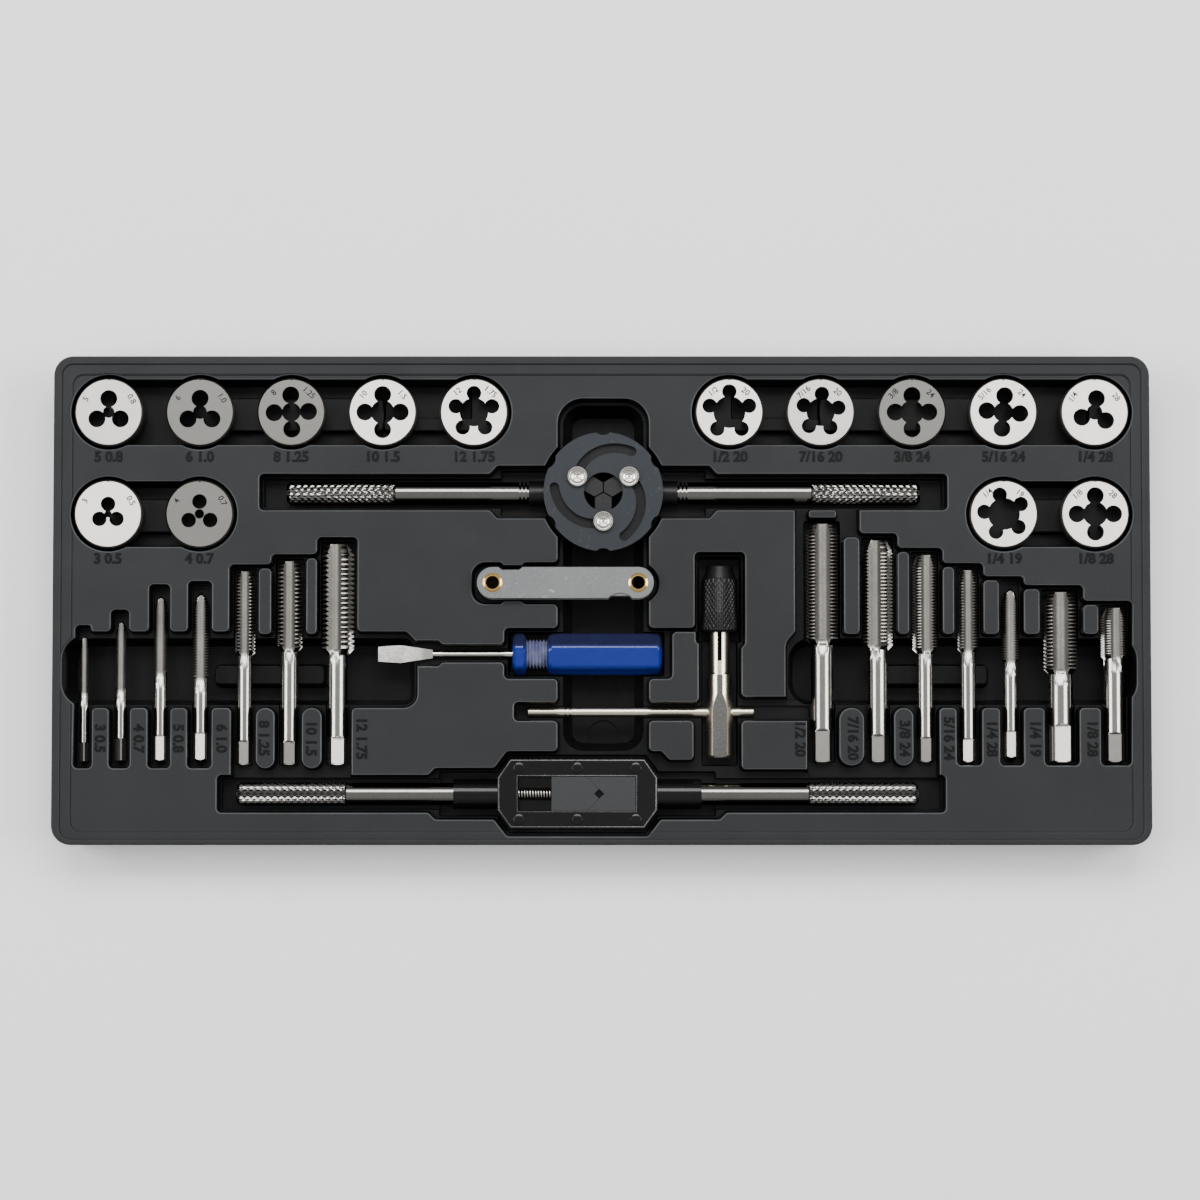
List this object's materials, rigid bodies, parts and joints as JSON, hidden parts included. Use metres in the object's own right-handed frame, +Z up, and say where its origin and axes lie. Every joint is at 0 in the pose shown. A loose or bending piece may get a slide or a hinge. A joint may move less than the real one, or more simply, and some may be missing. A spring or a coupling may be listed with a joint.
{
  "type": "tap and die set tray",
  "caption": "Low black moulded tray with fitted taps, round dies, a guided die stock, a bar tap wrench, a T-handle tap wrench, a screwdriver and a screw pitch gauge.",
  "frame": {"origin": "middle of the tray's underside, on the surface it stands on", "axes": "+X along the tray to the right, +Y to the rear edge where the rows of dies are, +Z up"},
  "size_m": [0.397, 0.177, 0.0292],
  "materials": {
    "tray": "fine moulded texture",
    "tap_steel": "ground shank, satin thread",
    "die_steel": "ground faces",
    "black_steel": "black oxide, slight sheen",
    "jaw_steel": "dark ground steel",
    "screw_steel": "bright",
    "chromed": "polished",
    "nickel": "warm nickel plate",
    "blue_handle": "clear blue",
    "gauge_steel": "satin",
    "eyelet_brass": "polished"
  },
  "bodies": {
    "tray": {"tool_tray": "tray"},
    "m3_tap": {"tap_m3": "tap_steel"},
    "m4_tap": {"tap_m4": "tap_steel"},
    "m5_tap": {"tap_m5": "tap_steel"},
    "m6_tap": {"tap_m6": "tap_steel"},
    "m8_tap": {"tap_m8": "tap_steel"},
    "m10_tap": {"tap_m10": "tap_steel"},
    "m12_tap": {"tap_m12": "tap_steel"},
    "half_20_tap": {"tap_half_20": "tap_steel"},
    "seven_sixteenths_20_tap": {"tap_seven_sixteenths_20": "tap_steel"},
    "three_eighths_24_tap": {"tap_three_eighths_24": "tap_steel"},
    "five_sixteenths_24_tap": {"tap_five_sixteenths_24": "tap_steel"},
    "quarter_28_tap": {"tap_quarter_28": "tap_steel"},
    "pipe_quarter_19_tap": {"tap_pipe_quarter_19": "tap_steel"},
    "pipe_eighth_28_tap": {"tap_pipe_eighth_28": "tap_steel"},
    "m5_die": {"die_m5": "die_steel"},
    "m6_die": {"die_m6": "die_steel"},
    "m8_die": {"die_m8": "die_steel"},
    "m10_die": {"die_m10": "die_steel"},
    "m12_die": {"die_m12": "die_steel"},
    "half_20_die": {"die_half_20": "die_steel"},
    "seven_sixteenths_20_die": {"die_seven_sixteenths_20": "die_steel"},
    "three_eighths_24_die": {"die_three_eighths_24": "die_steel"},
    "five_sixteenths_24_die": {"die_five_sixteenths_24": "die_steel"},
    "quarter_28_die": {"die_quarter_28": "die_steel"},
    "m3_die": {"die_m3": "die_steel"},
    "m4_die": {"die_m4": "die_steel"},
    "pipe_quarter_19_die": {"die_pipe_quarter_19": "die_steel"},
    "pipe_eighth_28_die": {"die_pipe_eighth_28": "die_steel"},
    "die_stock": {"stock_body": "black_steel", "stock_clamp_screws": "screw_steel", "stock_handle_left": "chromed", "stock_handle_right": "chromed"},
    "bar_wrench": {"wrench_body": "black_steel", "wrench_cover": "black_steel", "wrench_rivets": "black_steel", "wrench_fixed_jaw": "jaw_steel", "wrench_fixed_handle": "chromed"},
    "t_wrench": {"t_wrench_body": "nickel", "t_wrench_jaws": "jaw_steel"},
    "screwdriver": {"driver_handle": "blue_handle", "driver_blade": "chromed"},
    "pitch_gauge": {"gauge_plates": "gauge_steel", "gauge_leaf_stack": "gauge_steel", "gauge_eyelets": "eyelet_brass"},
    "guide_plate": {"stock_guide_plate": "black_steel"},
    "guide_1": {"guide_jaw_1": "jaw_steel", "guide_screw_1": "screw_steel"},
    "guide_2": {"guide_jaw_2": "jaw_steel", "guide_screw_2": "screw_steel"},
    "guide_3": {"guide_jaw_3": "jaw_steel", "guide_screw_3": "screw_steel"},
    "wrench_turner": {"wrench_turning_handle": "chromed", "wrench_spindle": "screw_steel"},
    "wrench_slider": {"wrench_sliding_jaw": "jaw_steel"},
    "t_collar": {"t_wrench_collar": "black_steel"},
    "t_bar": {"t_wrench_bar": "nickel"},
    "leaves_left": {"gauge_leaves_left": "gauge_steel"},
    "leaves_right": {"gauge_leaves_right": "gauge_steel"}
  },
  "joints": [
    {"name": "lift_m3_tap", "type": "slide", "parent": "tray", "child": "m3_tap", "axis": [0, 0, 1], "range_m": [0, 0.03]},
    {"name": "lift_m4_tap", "type": "slide", "parent": "tray", "child": "m4_tap", "axis": [0, 0, 1], "range_m": [0, 0.03]},
    {"name": "lift_m5_tap", "type": "slide", "parent": "tray", "child": "m5_tap", "axis": [0, 0, 1], "range_m": [0, 0.03]},
    {"name": "lift_m6_tap", "type": "slide", "parent": "tray", "child": "m6_tap", "axis": [0, 0, 1], "range_m": [0, 0.03]},
    {"name": "lift_m8_tap", "type": "slide", "parent": "tray", "child": "m8_tap", "axis": [0, 0, 1], "range_m": [0, 0.03]},
    {"name": "lift_m10_tap", "type": "slide", "parent": "tray", "child": "m10_tap", "axis": [0, 0, 1], "range_m": [0, 0.03]},
    {"name": "lift_m12_tap", "type": "slide", "parent": "tray", "child": "m12_tap", "axis": [0, 0, 1], "range_m": [0, 0.03]},
    {"name": "lift_half_20_tap", "type": "slide", "parent": "tray", "child": "half_20_tap", "axis": [0, 0, 1], "range_m": [0, 0.03]},
    {"name": "lift_seven_sixteenths_20_tap", "type": "slide", "parent": "tray", "child": "seven_sixteenths_20_tap", "axis": [0, 0, 1], "range_m": [0, 0.03]},
    {"name": "lift_three_eighths_24_tap", "type": "slide", "parent": "tray", "child": "three_eighths_24_tap", "axis": [0, 0, 1], "range_m": [0, 0.03]},
    {"name": "lift_five_sixteenths_24_tap", "type": "slide", "parent": "tray", "child": "five_sixteenths_24_tap", "axis": [0, 0, 1], "range_m": [0, 0.03]},
    {"name": "lift_quarter_28_tap", "type": "slide", "parent": "tray", "child": "quarter_28_tap", "axis": [0, 0, 1], "range_m": [0, 0.03]},
    {"name": "lift_pipe_quarter_19_tap", "type": "slide", "parent": "tray", "child": "pipe_quarter_19_tap", "axis": [0, 0, 1], "range_m": [0, 0.03]},
    {"name": "lift_pipe_eighth_28_tap", "type": "slide", "parent": "tray", "child": "pipe_eighth_28_tap", "axis": [0, 0, 1], "range_m": [0, 0.03]},
    {"name": "lift_m5_die", "type": "slide", "parent": "tray", "child": "m5_die", "axis": [0, 0, 1], "range_m": [0, 0.03]},
    {"name": "lift_m6_die", "type": "slide", "parent": "tray", "child": "m6_die", "axis": [0, 0, 1], "range_m": [0, 0.03]},
    {"name": "lift_m8_die", "type": "slide", "parent": "tray", "child": "m8_die", "axis": [0, 0, 1], "range_m": [0, 0.03]},
    {"name": "lift_m10_die", "type": "slide", "parent": "tray", "child": "m10_die", "axis": [0, 0, 1], "range_m": [0, 0.03]},
    {"name": "lift_m12_die", "type": "slide", "parent": "tray", "child": "m12_die", "axis": [0, 0, 1], "range_m": [0, 0.03]},
    {"name": "lift_half_20_die", "type": "slide", "parent": "tray", "child": "half_20_die", "axis": [0, 0, 1], "range_m": [0, 0.03]},
    {"name": "lift_seven_sixteenths_20_die", "type": "slide", "parent": "tray", "child": "seven_sixteenths_20_die", "axis": [0, 0, 1], "range_m": [0, 0.03]},
    {"name": "lift_three_eighths_24_die", "type": "slide", "parent": "tray", "child": "three_eighths_24_die", "axis": [0, 0, 1], "range_m": [0, 0.03]},
    {"name": "lift_five_sixteenths_24_die", "type": "slide", "parent": "tray", "child": "five_sixteenths_24_die", "axis": [0, 0, 1], "range_m": [0, 0.03]},
    {"name": "lift_quarter_28_die", "type": "slide", "parent": "tray", "child": "quarter_28_die", "axis": [0, 0, 1], "range_m": [0, 0.03]},
    {"name": "lift_m3_die", "type": "slide", "parent": "tray", "child": "m3_die", "axis": [0, 0, 1], "range_m": [0, 0.03]},
    {"name": "lift_m4_die", "type": "slide", "parent": "tray", "child": "m4_die", "axis": [0, 0, 1], "range_m": [0, 0.03]},
    {"name": "lift_pipe_quarter_19_die", "type": "slide", "parent": "tray", "child": "pipe_quarter_19_die", "axis": [0, 0, 1], "range_m": [0, 0.03]},
    {"name": "lift_pipe_eighth_28_die", "type": "slide", "parent": "tray", "child": "pipe_eighth_28_die", "axis": [0, 0, 1], "range_m": [0, 0.03]},
    {"name": "lift_die_stock", "type": "slide", "parent": "tray", "child": "die_stock", "axis": [0, 0, 1], "range_m": [0, 0.03]},
    {"name": "lift_bar_wrench", "type": "slide", "parent": "tray", "child": "bar_wrench", "axis": [0, 0, 1], "range_m": [0, 0.03]},
    {"name": "lift_t_wrench", "type": "slide", "parent": "tray", "child": "t_wrench", "axis": [0, 0, 1], "range_m": [0, 0.03]},
    {"name": "lift_screwdriver", "type": "slide", "parent": "tray", "child": "screwdriver", "axis": [0, 0, 1], "range_m": [0, 0.03]},
    {"name": "lift_pitch_gauge", "type": "slide", "parent": "tray", "child": "pitch_gauge", "axis": [0, 0, 1], "range_m": [0, 0.03]},
    {"name": "guide_plate_turn", "type": "hinge", "parent": "die_stock", "child": "guide_plate", "pos_m": [0.0006, 0.0392, 0.0252], "axis": [0, 0, 1], "range_deg": [0, 95]},
    {"name": "guide_1_slide", "type": "slide", "parent": "die_stock", "child": "guide_1", "axis": [-0.866, 0.5, 0], "range_m": [0, 0.007]},
    {"name": "guide_2_slide", "type": "slide", "parent": "die_stock", "child": "guide_2", "axis": [0.866, 0.5, 0], "range_m": [0, 0.007]},
    {"name": "guide_3_slide", "type": "slide", "parent": "die_stock", "child": "guide_3", "axis": [0, -1, 0], "range_m": [0, 0.007]},
    {"name": "wrench_handle_turn", "type": "hinge", "parent": "bar_wrench", "child": "wrench_turner", "pos_m": [-0.06, -0.07, 0.0186], "axis": [1, 0, 0], "range_deg": [0, 3060]},
    {"name": "wrench_jaw_slide", "type": "slide", "parent": "bar_wrench", "child": "wrench_slider", "axis": [-1, 0, 0], "range_m": [0, 0.0085]},
    {"name": "t_collar_turn", "type": "hinge", "parent": "t_wrench", "child": "t_collar", "pos_m": [0.0428, -0.002, 0.0174], "axis": [0, 1, 0], "range_deg": [0, 720]},
    {"name": "t_bar_slide", "type": "slide", "parent": "t_wrench", "child": "t_bar", "axis": [1, 0, 0], "range_m": [-0.003, 0.019]},
    {"name": "left_leaves_swing", "type": "hinge", "parent": "pitch_gauge", "child": "leaves_left", "pos_m": [-0.0394, 0.0061, 0.0264], "axis": [0, 0, 1], "range_deg": [-170, 0]},
    {"name": "right_leaves_swing", "type": "hinge", "parent": "pitch_gauge", "child": "leaves_right", "pos_m": [0.0132, 0.0061, 0.0274], "axis": [0, 0, 1], "range_deg": [0, 170]}
  ],
  "couplings": [
    {"joint": "guide_2_slide", "follows": "guide_1_slide", "ratio": 1},
    {"joint": "guide_3_slide", "follows": "guide_1_slide", "ratio": 1},
    {"joint": "guide_plate_turn", "follows": "guide_1_slide", "rad_per_m": 236.87},
    {"joint": "wrench_handle_turn", "follows": "wrench_jaw_slide", "rad_per_m": 6283.2}
  ]
}
